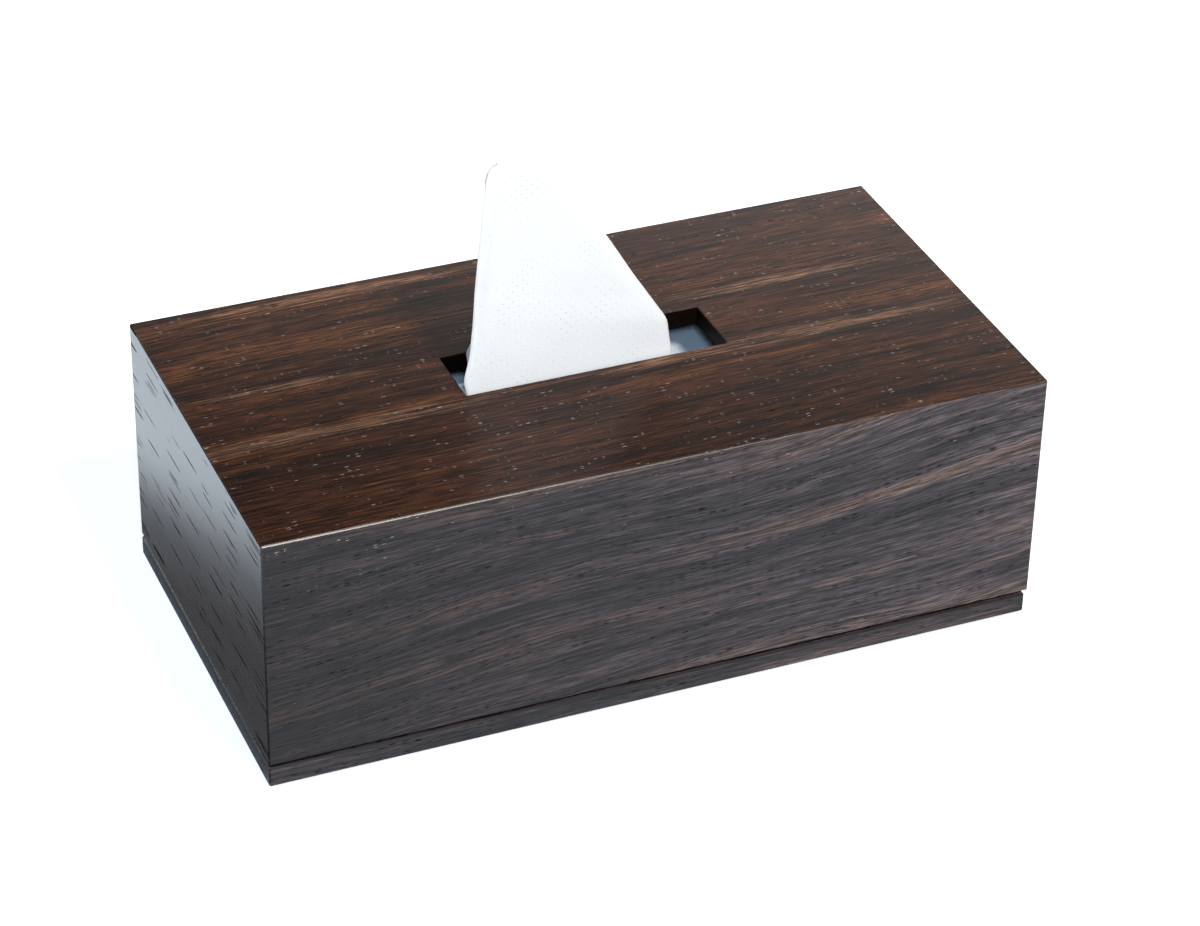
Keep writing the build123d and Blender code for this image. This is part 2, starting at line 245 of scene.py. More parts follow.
@dataclass(frozen=True)
class Finish:
    """A surface finish, built of procedural nodes.

    Attributes:
        name: the finish, in a maker's words.
    """

    name: str

    def shade(self, tree: NodeTree) -> Node:
        """Adds the finish's nodes to a material's tree and returns its shader."""
        raise NotImplementedError

    def material(self) -> Material:
        """Builds the node material.

        Returns:
            The finish as a material.
        """
        material = bpy.data.materials.new(self.name)
        material.use_nodes = True
        tree = material.node_tree
        tree.nodes.clear()
        add_node(tree, "OutputMaterial", {"Surface": self.shade(tree)})
        return material


def drawn_out(
    tree: NodeTree, source: Source, length: float, width: float, detail: float, shift: float = 0.0
) -> NodeSocket:
    """Adds a pattern drawn out along the fibres.

    Args:
        tree: the material's tree.
        source: place on the leaf, in millimetres, the fibres along X.
        length: how long its marks are, in millimetres.
        width: how wide they are, in millimetres.
        detail: how much finer the smallest marks are.
        shift: moves the pattern, so that two of them differ.

    Returns:
        The pattern's value, from 0 to 1.
    """
    space = add_node(
        tree, "Mapping",
        {"Vector": source, "Scale": (1 / length, 1 / width, 1.0), "Location": (shift, shift, 0.0)},
    )
    pattern = add_node(
        tree, "TexNoise", {"Vector": space, "Scale": 1.0, "Detail": detail, "Roughness": 0.6},
        noise_dimensions="2D",
    )
    return pattern.outputs["Fac"]


@dataclass(frozen=True)
class OpenPoreVeneer(Finish):
    """Smoked walnut veneer, open-pored under a satin lacquer.

    Attributes:
        bands: ramp of its broad stripes, dark to tawny.
        grain: the way its fibres run.
        leaf: shifts the pattern in millimetres, so that each leaf differs.
        slope: the fibres' slant to the board, in degrees.
        wander: how far the stripes stray across the grain, in millimetres.
        band_width: width of the broad stripes, in millimetres.
        ring_width: distance between the dark lines of the growth rings, in millimetres.
        ring_depth: how dark those lines are, 0 to 1.
        dark_pores: how many of the pores show as dark dashes, 0 to 1.
        bright_pores: how many of the pores get a painted glint, a painted highlight, 0 to 1.
        pore_length: length of one pore, in millimetres.
        pore_width: width of one pore, in millimetres.
        row_width: distance between the rows of pores, in millimetres.
        row_edge: how high the rows' pattern must be before pores crowd there, 0 to 1.
        glint_length: length of the painted glint at a pore's lit end, in millimetres.
        glint_width: its width, in millimetres.
        glints_above: height over the table from which the painted glint on the pores shows in full.
        relief: how far the fibres stand up under the lacquer, in millimetres.
        tawny: colour of the sapwood stripes.
        lit: colour painted on a pore as its glint, a painted highlight.
        hollow: colour of a dark pore.
        stripes: each stripe's middle, half its length and half its width, in
            millimetres from the middle of the box.
        paling: how much paler the leaf is painted at the +X and at the +Y end of its board
        than in the middle, as shares: painted light, a sheen laid into its colour.
        half_box: half the box's length and half its depth, in millimetres.
        sheen: the lacquer's roughness.
        gloss: the lacquer's specular level.
    """

    bands: Stops
    grain: Grain = Grain.ALONG_X
    leaf: Point = (0.0, 0.0, 0.0)
    slope: float = 0.0
    wander: float = 8.0
    band_width: float = 9.0
    ring_width: float = 2.2
    ring_depth: float = 0.6
    dark_pores: float = 0.5
    bright_pores: float = 0.2
    pore_length: float = 2.5
    pore_width: float = 0.2
    row_width: float = 2.4
    row_edge: float = 0.4
    glint_length: float = 1.7
    glint_width: float = 0.12
    glints_above: float = 0.0
    relief: float = 0.01
    tawny: str = "#7B5740"
    lit: str = "#DAD3CC"
    hollow: str = "#0A0605"
    stripes: tuple[tuple[float, float, float, float], ...] = ()
    paling: tuple[float, float] = (0.0, 0.0)
    half_box: tuple[float, float] = (130.0, 67.5)
    sheen: float = 0.3
    gloss: float = 0.5

    def pores(
        self, tree: NodeTree, leaf: Source, rows: Source, share: float, length: float, width: float
    ) -> Node:
        """Adds short dashes along the fibres, crowded where the rows are high.

        The dashes differ in length and in depth.

        Args:
            tree: the material's tree.
            leaf: place on the leaf, in millimetres.
            rows: where the pores crowd, 0 to 1.
            share: how many of them there are where they crowd most, 0 to 1.
            length: length of the longest, in millimetres.
            width: width of the widest, in millimetres.

        Returns:
            A node that gives up to 1 in a pore and 0 beside it.
        """
        add = partial(add_node, tree)
        # The shift keeps two sets of pores on one leaf from falling together.
        shift = (60 * share, 17 * width, 0.0)
        scale = (0.62 / length, 0.5 / width, 1.0)
        space = add("Mapping", {"Vector": leaf, "Scale": scale, "Location": shift})
        cells = add(
            "TexVoronoi", {"Vector": space, "Scale": 1.0, "Randomness": 1.0},
            voronoi_dimensions="2D", feature="F1",
        )
        draw = add("SeparateColor", {0: cells.outputs["Color"]})
        crowd = add(
            "MapRange",
            {"Value": rows, "From Min": self.row_edge, "From Max": 0.64, "To Max": share},
        )
        chance = add("Math", {0: draw, 1: crowd}, operation="ADD")
        limit = add(
            "MapRange",
            {"Value": chance, "From Min": 1.0, "From Max": 1.12, "To Min": -0.02, "To Max": 0.38},
        )
        distance = cells.outputs["Distance"]
        inside = add("Math", {0: limit, 1: distance}, operation="SUBTRACT")
        depth = add("Math", {0: draw.outputs[1], 1: 0.4, 2: 0.6}, operation="MULTIPLY_ADD")
        return add("MapRange", {"Value": inside, "From Max": 0.06, "To Max": depth}, **SMOOTH)

    def striped(self, tree: NodeTree, place: Source, streaks: Source, colour: Source) -> Source:
        """Lays the tawny sapwood stripes over the wood.

        Args:
            tree: the material's tree.
            place: place on the board, in millimetres.
            streaks: pattern that frays the stripes' edges, about 0 to 1.
            colour: the wood's colour without them.

        Returns:
            The wood's colour with its stripes.
        """
        add = partial(add_node, tree)
        for x, y, half_length, half_width in self.stripes:
            middle = (-x / half_length, -y / half_width, 0.0)
            scale = (1 / half_length, 1 / half_width, 0.0)
            space = add("Mapping", {"Vector": place, "Location": middle, "Scale": scale})
            away = add("VectorMath", {0: space}, operation="LENGTH").outputs["Value"]
            frayed = add("Math", {0: streaks, 1: -1.6, 2: away}, operation="MULTIPLY_ADD")
            inside = add(
                "MapRange",
                {"Value": frayed, "From Min": -0.55, "From Max": 0.25, "To Min": 0.75,
                 "To Max": 0.0},
                **SMOOTH,
            )
            tint = {"Factor": inside, "A": colour, "B": linear(self.tawny)}
            colour = add("Mix", tint, data_type="RGBA").outputs["Result"]
        return colour

    def strayed(self, tree: NodeTree, turned: Source) -> Node:
        """Lays the leaf flat on its board, and lets its stripes stray across the grain.

        Args:
            tree: the material's tree.
            turned: place on the board, in millimetres, the fibres along X.

        Returns:
            The node that gives the place on the leaf.
        """
        add = partial(add_node, tree)
        # A leaf lies flat on its board: its second axis is the sum of the two others, of
        # which one is the same all over each face.
        parts = add("SeparateXYZ", {0: turned})
        across = add("Math", {0: parts.outputs[1], 1: parts.outputs[2]}, operation="ADD")
        flat = add("CombineXYZ", {"X": parts, "Y": across})
        slant = (0.0, 0.0, math.radians(self.slope))
        slanted = add("Mapping", {"Vector": flat, "Rotation": slant, "Location": self.leaf})
        wide = drawn_out(tree, slanted, length=150, width=60, detail=0, shift=7)
        fine = drawn_out(tree, slanted, length=42, width=12, detail=0, shift=3)
        drift = add("Math", {0: fine, 1: 0.1, 2: wide}, operation="MULTIPLY_ADD")
        stray = add("CombineXYZ", {"Y": drift})
        return add(
            "VectorMath", {0: stray, 1: (0.0, self.wander, 0.0), 2: slanted},
            operation="MULTIPLY_ADD",
        )

    def shade(self, tree: NodeTree) -> Node:
        """Adds the veneer's nodes.

        Args:
            tree: the material's tree.

        Returns:
            The finish: stripes and fine streaks along the grain, pores as short dashes
            sunk in the lacquer, pale dashes on some of them as a painted highlight, a colour
            painted paler towards one end as painted sheen, and a soft satin reflection over them.
        """
        add = partial(add_node, tree)
        scaled = in_millimetres(tree)
        turned = add("Mapping", {"Vector": scaled, "Rotation": self.grain.value})
        leaf = self.strayed(tree, turned)
        pattern = partial(drawn_out, tree, leaf)

        bands = pattern(length=220, width=self.band_width, detail=5)
        ramp = add("ValToRGB", {"Fac": bands})
        set_ramp(ramp, self.bands)
        threads = pattern(length=38, width=0.9, detail=4, shift=23)
        ground = self.striped(tree, turned, threads, ramp)

        # Growth rings: dark lines a third of a millimetre wide where a slow pattern
        # crosses its middle value, which fade out and come back along the grain.
        rings = pattern(length=150, width=self.ring_width, detail=2, shift=11)
        from_line = add("Math", {0: rings, 1: 0.5}, operation="SUBTRACT")
        distance = add("Math", {0: from_line}, operation="ABSOLUTE")
        line = add(
            "MapRange", {"Value": distance, "From Max": 0.055, "To Min": 1.0, "To Max": 0.0},
            **SMOOTH,
        )
        fade = pattern(length=70, width=5, detail=2, shift=19)
        fading = add(
            "MapRange",
            {"Value": fade, "From Min": 0.38, "From Max": 0.6, "To Max": self.ring_depth},
        )
        ring_shade = add("Math", {0: line, 1: fading}, operation="MULTIPLY")
        ring_tone = add("Math", {0: 1.0, 1: ring_shade}, operation="SUBTRACT")
        # Streaks half a millimetre to a millimetre wide and some centimetres long.
        streaks = add(
            "MapRange",
            {"Value": threads, "From Min": 0.38, "From Max": 0.58, "To Min": 0.42, "To Max": 1.34},
            **SMOOTH,
        )
        # Bundles of fibres 0.4 mm wide: finer ones do not show at the picture's scale.
        fibre = pattern(length=9, width=0.42, detail=2, shift=31)
        fibres = add(
            "MapRange",
            {"Value": fibre, "From Min": 0.36, "From Max": 0.64, "To Min": 0.35, "To Max": 1.65},
        )
        tone = add("Math", {0: streaks, 1: fibres}, operation="MULTIPLY")
        shade = add("Math", {0: tone, 1: ring_tone}, operation="MULTIPLY")
        # Painted light: the colour grows paler towards one end of the board, a sheen laid into it
        # in place of the lacquer's reflection.
        ends = (self.paling[0] / self.half_box[0], self.paling[1] / self.half_box[1], 0.0)
        paler = add("VectorMath", {0: turned, 1: ends}, operation="DOT_PRODUCT")
        painted_haze_tone = add(
            "Math", {0: paler.outputs["Value"], 1: shade, 2: shade}, operation="MULTIPLY_ADD"
        )
        wood = add("VectorMath", {0: ground, "Scale": painted_haze_tone}, operation="SCALE")

        rows = pattern(length=60, width=self.row_width, detail=1, shift=41)
        dark = self.pores(tree, leaf, rows, self.dark_pores, self.pore_length, self.pore_width)
        # Painted highlight: pale dashes laid into the base colour stand in for the glint of light
        # off the pores' edges.
        lit_rows = pattern(length=14, width=4, detail=3, shift=53)
        painted_glints = self.pores(
            tree, leaf, lit_rows, self.bright_pores, self.glint_length, self.glint_width
        )
        height = add("SeparateXYZ", {0: scaled})
        # Painted highlight: below that height the pores' painted glint fades out over 20 mm, as the
        # light catches the pores near the top of a wall.
        high = add(
            "MapRange",
            {"Value": height.outputs["Z"], "From Min": self.glints_above - 20,
             "From Max": self.glints_above, "To Min": 0.12},
        )
        bright = add("Math", {0: painted_glints, 1: high}, operation="MULTIPLY")
        lit = add("Mix", {"Factor": bright, "A": wood, "B": linear(self.lit)}, data_type="RGBA")
        level = add("Math", {0: dark, 1: -2.0, 2: fibre}, operation="MULTIPLY_ADD")
        bump = add("Bump", {"Height": level, "Strength": 1.0, "Distance": self.relief * MM})
        lacquer = add(
            "BsdfPrincipled",
            {"Base Color": lit.outputs["Result"], "Normal": bump, "IOR": 1.5,
             "Roughness": self.sheen, "Specular IOR Level": self.gloss},
        )
        # An open pore swallows the light that the lacquer round it sends back.
        pore = add("BsdfDiffuse", {"Color": linear(self.hollow)})
        return add("MixShader", {0: dark, 1: lacquer, 2: pore})


@dataclass(frozen=True)
class SolidTimber(Finish):
    """Planed timber with a thin matt oil: fine even grain, and dots on the end grain.

    Attributes:
        dark: colour of the latewood.
        light: colour of the earlywood.
        grain: the way its fibres run.
        ring_width: width of a growth ring, in millimetres.
        roughness: the oiled face's roughness.
        gloss: its specular level.
    """

    dark: str
    light: str
    grain: Grain = Grain.ALONG_X
    ring_width: float = 2.6
    roughness: float = 0.5
    gloss: float = 0.5

    def shade(self, tree: NodeTree) -> Node:
        """Adds the timber's nodes.

        Args:
            tree: the material's tree.

        Returns:
            The finish: growth rings drawn out along the fibres, with short flecks.
        """
        add = partial(add_node, tree)
        turned = add("Mapping", {"Vector": in_millimetres(tree), "Rotation": self.grain.value})
        ring = (1 / 150, 1 / self.ring_width, 1 / (3 * self.ring_width))
        ring_space = add("VectorMath", {0: turned, 1: ring}, operation="MULTIPLY")
        rings = add(
            "TexNoise",
            {"Vector": ring_space, "Scale": 1.0, "Detail": 4.0, "Roughness": 0.6,
             "Distortion": 0.4},
        )
        ramp = add("ValToRGB", {"Fac": rings.outputs["Fac"]})
        set_ramp(ramp, ((0.3, self.dark), (0.62, self.light)))
        # Flecks up to 0.3 mm wide and 2 mm long, as small as the render can show.
        fleck = (1 / 3.0, 1 / 0.5, 1 / 0.5)
        fleck_space = add("VectorMath", {0: turned, 1: fleck}, operation="MULTIPLY")
        cells = add("TexVoronoi", {"Vector": fleck_space, "Scale": 1.0}, feature="F1")
        flecks = add(
            "MapRange",
            {"Value": cells.outputs["Distance"], "From Min": 0.14, "From Max": 0.3, "To Min": 0.62},
            **SMOOTH,
        )
        colour = add("VectorMath", {0: ramp, "Scale": flecks}, operation="SCALE")
        bump = add("Bump", {"Height": flecks, "Strength": 0.6, "Distance": 0.03 * MM})
        return add(
            "BsdfPrincipled",
            {"Base Color": colour, "Normal": bump, "IOR": 1.5, "Roughness": self.roughness,
             "Specular IOR Level": self.gloss},
        )


@dataclass(frozen=True)
class PlatedMetal(Finish):
    """Plated steel, tumbled: small scratches and cloudy patches in the reflection.

    Attributes:
        colour: the plating's colour.
        roughness: the middle of its roughness.
        patch: size of the cloudy patches, in millimetres.
    """

    colour: str
    roughness: float
    patch: float = 1.2

    def shade(self, tree: NodeTree) -> Node:
        """Adds the metal's nodes.

        Args:
            tree: the material's tree.

        Returns:
            The finish: a bright metal whose gloss varies in patches of a millimetre.
        """
        add = partial(add_node, tree)
        place = add("TexCoord").outputs["Object"]
        cloud = add("TexNoise", {"Vector": place, "Scale": 1 / (self.patch * MM), "Detail": 3.0})
        patches = {"Value": cloud.outputs["Fac"], "From Min": 0.3, "From Max": 0.7}
        rough = {"To Min": self.roughness - 0.1, "To Max": self.roughness + 0.12}
        gloss = add("MapRange", patches | rough)
        tone = add("MapRange", patches | {"To Min": 0.88, "To Max": 1.04})
        colour = add("VectorMath", {0: linear(self.colour)[:3], "Scale": tone}, operation="SCALE")
        return add("BsdfPrincipled", {"Base Color": colour, "Roughness": gloss, "Metallic": 1.0})


@dataclass(frozen=True)
class WoolFelt(Finish):
    """Pressed wool felt: matted fibres that scatter the light.

    Attributes:
        colour: its colour.
        tuft: size of the matted tufts, in millimetres.
    """

    name: str = "Pressed wool felt"
    colour: str = "#2A2A2C"
    tuft: float = 0.5

    def shade(self, tree: NodeTree) -> Node:
        """Adds the felt's nodes.

        Args:
            tree: the material's tree.

        Returns:
            The finish: a dull, mottled surface with a soft edge sheen.
        """
        add = partial(add_node, tree)
        place = add("TexCoord").outputs["Object"]
        fibres = add(
            "TexNoise",
            {"Vector": place, "Scale": 1 / (self.tuft * MM), "Detail": 4.0, "Distortion": 1.5},
        ).outputs["Fac"]
        tone = add(
            "MapRange",
            {"Value": fibres, "From Min": 0.3, "From Max": 0.7, "To Min": 0.6, "To Max": 1.5},
        )
        colour = add("VectorMath", {0: linear(self.colour)[:3], "Scale": tone}, operation="SCALE")
        bump = add("Bump", {"Height": fibres, "Strength": 0.8, "Distance": 0.15 * MM})
        return add(
            "BsdfPrincipled",
            {"Base Color": colour, "Normal": bump, "Roughness": 0.95, "Sheen Weight": 0.3,
             "Sheen Roughness": 0.5},
        )


@dataclass(frozen=True)
class TissuePaper(Finish):
    """Creped two-ply tissue, embossed with a lattice of small dots.

    Attributes:
        colour: its colour.
        dot: colour painted in the embossed dots, their painted shade.
        pitch: distance between dots, in millimetres.
        dot_radius: their radius, in millimetres.
        patch: size of the patches in which the dots show, in millimetres.
        uses_uv: whether the lattice follows the piece's own UV map, in metres.
    """

    colour: str = "#F7F3ED"
    dot: str = "#CBD9EA"
    pitch: float = 2.4
    dot_radius: float = 0.3
    patch: float = 17.0
    uses_uv: bool = True

    def shade(self, tree: NodeTree) -> Node:
        """Adds the paper's nodes.

        Args:
            tree: the material's tree.

        Returns:
            The finish: a matt white with fine crepe, and dots pressed in whose faint blue is
                painted shade.
        """
        add = partial(add_node, tree)
        scaled = in_millimetres(tree, "UV" if self.uses_uv else "Object")
        flat = add("VectorMath", {0: scaled, 1: (1.0, 1.0, 0.0)}, operation="MULTIPLY")
        # Turned by 45 degrees, a square lattice is a staggered one.
        scale = (1 / self.pitch, 1 / self.pitch, 1.0)
        turned = add(
            "Mapping", {"Vector": flat, "Rotation": (0.0, 0.0, math.pi / 4), "Scale": scale}
        )
        cell = add("VectorMath", {0: turned}, operation="FRACTION")
        away = add("VectorMath", {0: cell, 1: (0.5, 0.5, 0.0)}, operation="DISTANCE")
        dots = add(
            "MapRange",
            {"Value": away.outputs["Value"], "From Min": 0.5 * self.dot_radius / self.pitch,
             "From Max": self.dot_radius / self.pitch, "To Min": 1.0, "To Max": 0.0},
            **SMOOTH,
        )
        patches = add("TexNoise", {"Vector": flat, "Scale": 1 / self.patch, "Detail": 3.0})
        shown = add(
            "MapRange", {"Value": patches.outputs["Fac"], "From Min": 0.48, "From Max": 0.66}
        )
        # Painted shade: the faint blue in the dots stands in for the shade in the embossed hollows,
        # which the bump presses in as well.
        pressed = add("Math", {0: dots, 1: shown}, operation="MULTIPLY")
        colour = add(
            "Mix", {"Factor": pressed, "A": linear(self.colour), "B": linear(self.dot)},
            data_type="RGBA",
        )
        # Crepe wrinkles 0.5 mm apart and 3 mm long, across the sheet.
        wrinkle = (1 / 3.0, 1 / 0.5, 1.0)
        space = add("VectorMath", {0: flat, 1: wrinkle}, operation="MULTIPLY")
        crepe = add("TexNoise", {"Vector": space, "Scale": 1.0, "Detail": 3.0})
        level = add("Math", {0: dots, 1: -1.2, 2: crepe.outputs["Fac"]}, operation="MULTIPLY_ADD")
        bump = add("Bump", {"Height": level, "Strength": 0.5, "Distance": 0.1 * MM})
        return add(
            "BsdfPrincipled",
            {"Base Color": colour.outputs["Result"], "Normal": bump, "Roughness": 0.9,
             "Specular IOR Level": 0.3, "Sheen Weight": 0.05},
        )


@dataclass(frozen=True)
class PaintedBoard(Finish):
    """Board painted matt white, which keeps the box's shadow.

    Attributes:
        colour: the paint's colour.
        lift: how much light of its own the camera sees on it.
    """

    name: str = "Matt white painted board"
    colour: str = "#F2F3F5"
    lift: float = 0.72

    def shade(self, tree: NodeTree) -> Node:
        """Adds the paint's nodes.

        Args:
            tree: the material's tree.

        Returns:
            The finish: an even matt white, brighter to the camera than to the box.
        """
        path = add_node(tree, "LightPath").outputs["Is Camera Ray"]
        lift = add_node(tree, "Math", {0: path, 1: self.lift}, operation="MULTIPLY")
        return add_node(
            tree, "BsdfPrincipled",
            {"Base Color": linear(self.colour), "Roughness": 0.9, "Specular IOR Level": 0.0,
             "Emission Color": linear("#FFFFFF"), "Emission Strength": lift},
        )


@dataclass(frozen=True)
class GraduatedCard(Finish):
    """Glowing card, graduated one way.

    Attributes:
        way: the vector along which it is graduated.
        run: the products of that vector and the place, in millimetres, at which its ramp
            starts and ends.
        stops: the ramp.
        strength: brightness of white on it.
    """

    way: Point
    run: tuple[float, float]
    stops: Stops
    strength: float

    def shade(self, tree: NodeTree) -> Node:
        """Adds the card's nodes.

        Args:
            tree: the material's tree.

        Returns:
            The finish: a soft glow that shades from one colour to the next.
        """
        add = partial(add_node, tree)
        place = add("TexCoord").outputs["Object"]
        product = add("VectorMath", {0: place, 1: self.way}, operation="DOT_PRODUCT")
        start, end = self.run[0] * MM, self.run[1] * MM
        run = {"Value": product.outputs["Value"], "From Min": start, "From Max": end}
        ramp = add("ValToRGB", {"Fac": add("MapRange", run)})
        set_ramp(ramp, self.stops)
        return add("Emission", {"Color": ramp, "Strength": self.strength})


# ------------------------------------------------------------------ studio


@dataclass
class Studio:
    """The plain pale floor, the soft lamps and the camera.

    Attributes:
        camera_place: where the camera stands, in metres.
        camera_target: what it looks at, in metres.
        camera_roll: its roll, in degrees.
        lens: focal length for a sensor 36 mm wide.
        key_power: the key lamp's power, in watts.
        fill_power: the fill lamp's power, in watts.
        rear_power: the power of the lamp behind the box, in watts.
        lit_point: the place that the lamps shine on, in metres.
        floor_half: half the floor's width, in metres.
    """

    camera_place: Point = (-0.3901, -0.9277, 0.7081)
    camera_target: Point = (0.00403, -0.00449, 0.0495)
    camera_roll: float = 1.258
    lens: float = 111.6
    key_power: float = 45.0
    fill_power: float = 9.8
    rear_power: float = 10.0
    lit_point: Point = (0.0, 0.0, 0.09)
    floor_half: float = 6.0

    def build(self) -> None:
        """Builds the floor, the lamps, the cards, the world and the camera."""
        self.floor()
        self.lamps()
        self.cards()
        self.world()
        self.camera()
        LOG.info("studio: floor, lamps, cards, world and camera")

    def plate(self, name: str, corners: list[Point], finish: Finish) -> Object:
        """Puts a flat plate up in the studio.

        Args:
            name: the plate's name.
            corners: its corners, in millimetres.
            finish: its finish.

        Returns:
            The plate.
        """
        plate = mesh_piece(name, corners, [(0, 1, 2, 3)], smooth=False)
        plate.data.materials.append(finish.material())
        return plate

    def floor(self) -> None:
        """Lays the floor."""
        half = self.floor_half / MM
        corners = [(-half, -half, 0.0), (half, -half, 0.0), (half, half, 0.0), (-half, half, 0.0)]
        self.plate("floor", corners, PaintedBoard())

    def cards(self) -> None:
        """Sets up the card beside the left end and the one behind the box."""
        end = GraduatedCard(
            "Graduated card, end card", way=(-2.4, 1.0, 0.0), run=(345.6, 505.6),
            stops=(
                (0.12, "#515154"), (0.23, "#5C5E62"), (0.41, "#696E73"), (0.55, "#81878E"),
                (0.68, "#ABB4BC"), (0.8, "#D0DCE6"), (0.95, "#E1EDF7"),
            ),
            strength=1.9,
        )
        rear = GraduatedCard(
            "Graduated card, rear card", way=(1.0, 0.0, -3.1), run=(-930.0, -470.0),
            stops=((0.0, "#000000"), (1.0, "#FFFFFF")), strength=1.75,
        )
        beside = [(-420, -250, 0.5), (-132, -250, 0.5), (-132, 600, 0.5), (-420, 600, 0.5)]
        behind = [(-400, 300, 0.5), (900, 300, 0.5), (900, 300, 420), (-400, 300, 420)]
        for name, corners, finish in (("end card", beside, end), ("rear card", behind, rear)):
            card = self.plate(name, corners, finish)
            # A card shows only as a soft mirror image in the lacquer.
            card.visible_camera = card.visible_diffuse = card.visible_shadow = False

    def lamp(
        self, name: str, height: float, side: float, distance: float, size: float,
        power: float, colour: str,
    ) -> None:
        """Hangs a round soft lamp that shines on the box.

        Args:
            name: the lamp's name.
            height: its angle over the floor, in degrees.
            side: how far it stands to the right of the front, in degrees.
            distance: its distance, in metres.
            size: its width, in metres.
            power: its power, in watts.
            colour: its colour.
        """
        data = bpy.data.lights.new(name, "AREA")
        data.shape = "DISK"
        data.size = size
        data.energy = power
        data.color = linear(colour)[:3]
        lamp = bpy.data.objects.new(name, data)
        up, turn = math.radians(height), math.radians(side)
        target = Vector(self.lit_point)
        lamp.location = target + distance * Vector(
            (math.sin(turn) * math.cos(up), -math.cos(turn) * math.cos(up), math.sin(up))
        )
        lamp.rotation_euler = (target - lamp.location).to_track_quat("-Z", "Y").to_euler()
        bpy.context.scene.collection.objects.link(lamp)

    def lamps(self) -> None:
        """Hangs the key lamp over the front and two weak ones, by the camera and behind."""
        self.lamp("key lamp", 51.0, 12.0, 2.4, 0.42, self.key_power, "#FFFAF5")
        self.lamp("fill lamp", 36.0, -21.0, 1.6, 0.2, self.fill_power, "#BEDFFF")
        self.lamp("rear lamp", 20.0, 210.0, 2.0, 0.8, self.rear_power, "#F4F8FF")

    def world(self) -> None:
        """Makes the room: paler low down, dim and cool over the box."""
        world = bpy.data.worlds.new("Studio room")
        bpy.context.scene.world = world
        world.use_nodes = True
        world.node_tree.nodes.clear()
        add = partial(add_node, world.node_tree)
        place = add("TexCoord").outputs["Generated"]
        parts = add("SeparateXYZ", {0: place})
        room = add("ValToRGB", {"Fac": parts.outputs["Z"]})
        set_ramp(room, ((0.0, "#CBD5DD"), (0.2, "#8F9FAC"), (0.43, "#404E5A"), (1.0, "#3A4853")))
        background = add("Background", {"Color": room, "Strength": 1.0})
        add("OutputWorld", {"Surface": background})

    def camera(self) -> None:
        """Sets the camera up at the photograph's viewing angle."""
        data = bpy.data.cameras.new("camera")
        data.sensor_width = 36.0
        data.lens = self.lens
        data.clip_end = 50.0
        camera = bpy.data.objects.new("camera", data)
        place, target = Vector(self.camera_place), Vector(self.camera_target)
        turn = (target - place).to_track_quat("-Z", "Y").to_matrix().to_4x4()
        roll = Matrix.Rotation(math.radians(self.camera_roll), 4, "Z")
        camera.matrix_world = Matrix.Translation(place) @ turn @ roll
        bpy.context.scene.collection.objects.link(camera)
        bpy.context.scene.camera = camera


# ------------------------------------------------------------------ cover and drawer

TOP_BANDS: Stops = ((0.3, "#29140B"), (0.46, "#3C2012"), (0.56, "#492816"), (0.7, "#5D361D"))
FRONT_BANDS: Stops = ((0.32, "#272223"), (0.46, "#393132"), (0.58, "#493B38"), (0.7, "#544139"))
END_BANDS: Stops = ((0.32, "#15100E"), (0.5, "#231A17"), (0.7, "#33261F"))


def walnut(part: str, bands: Stops, grain: Grain = Grain.ALONG_X, **looks: Any) -> Material:
    """Makes one leaf of the box's veneer.

    Args:
        part: what the leaf covers.
        bands: ramp of its broad stripes.
        grain: the way its fibres run.
        looks: the leaf's other fields.

    Returns:
        The material.
    """
    name = f"Smoked walnut veneer, satin lacquer, {part}"
    return OpenPoreVeneer(name, bands, grain, **looks).material()


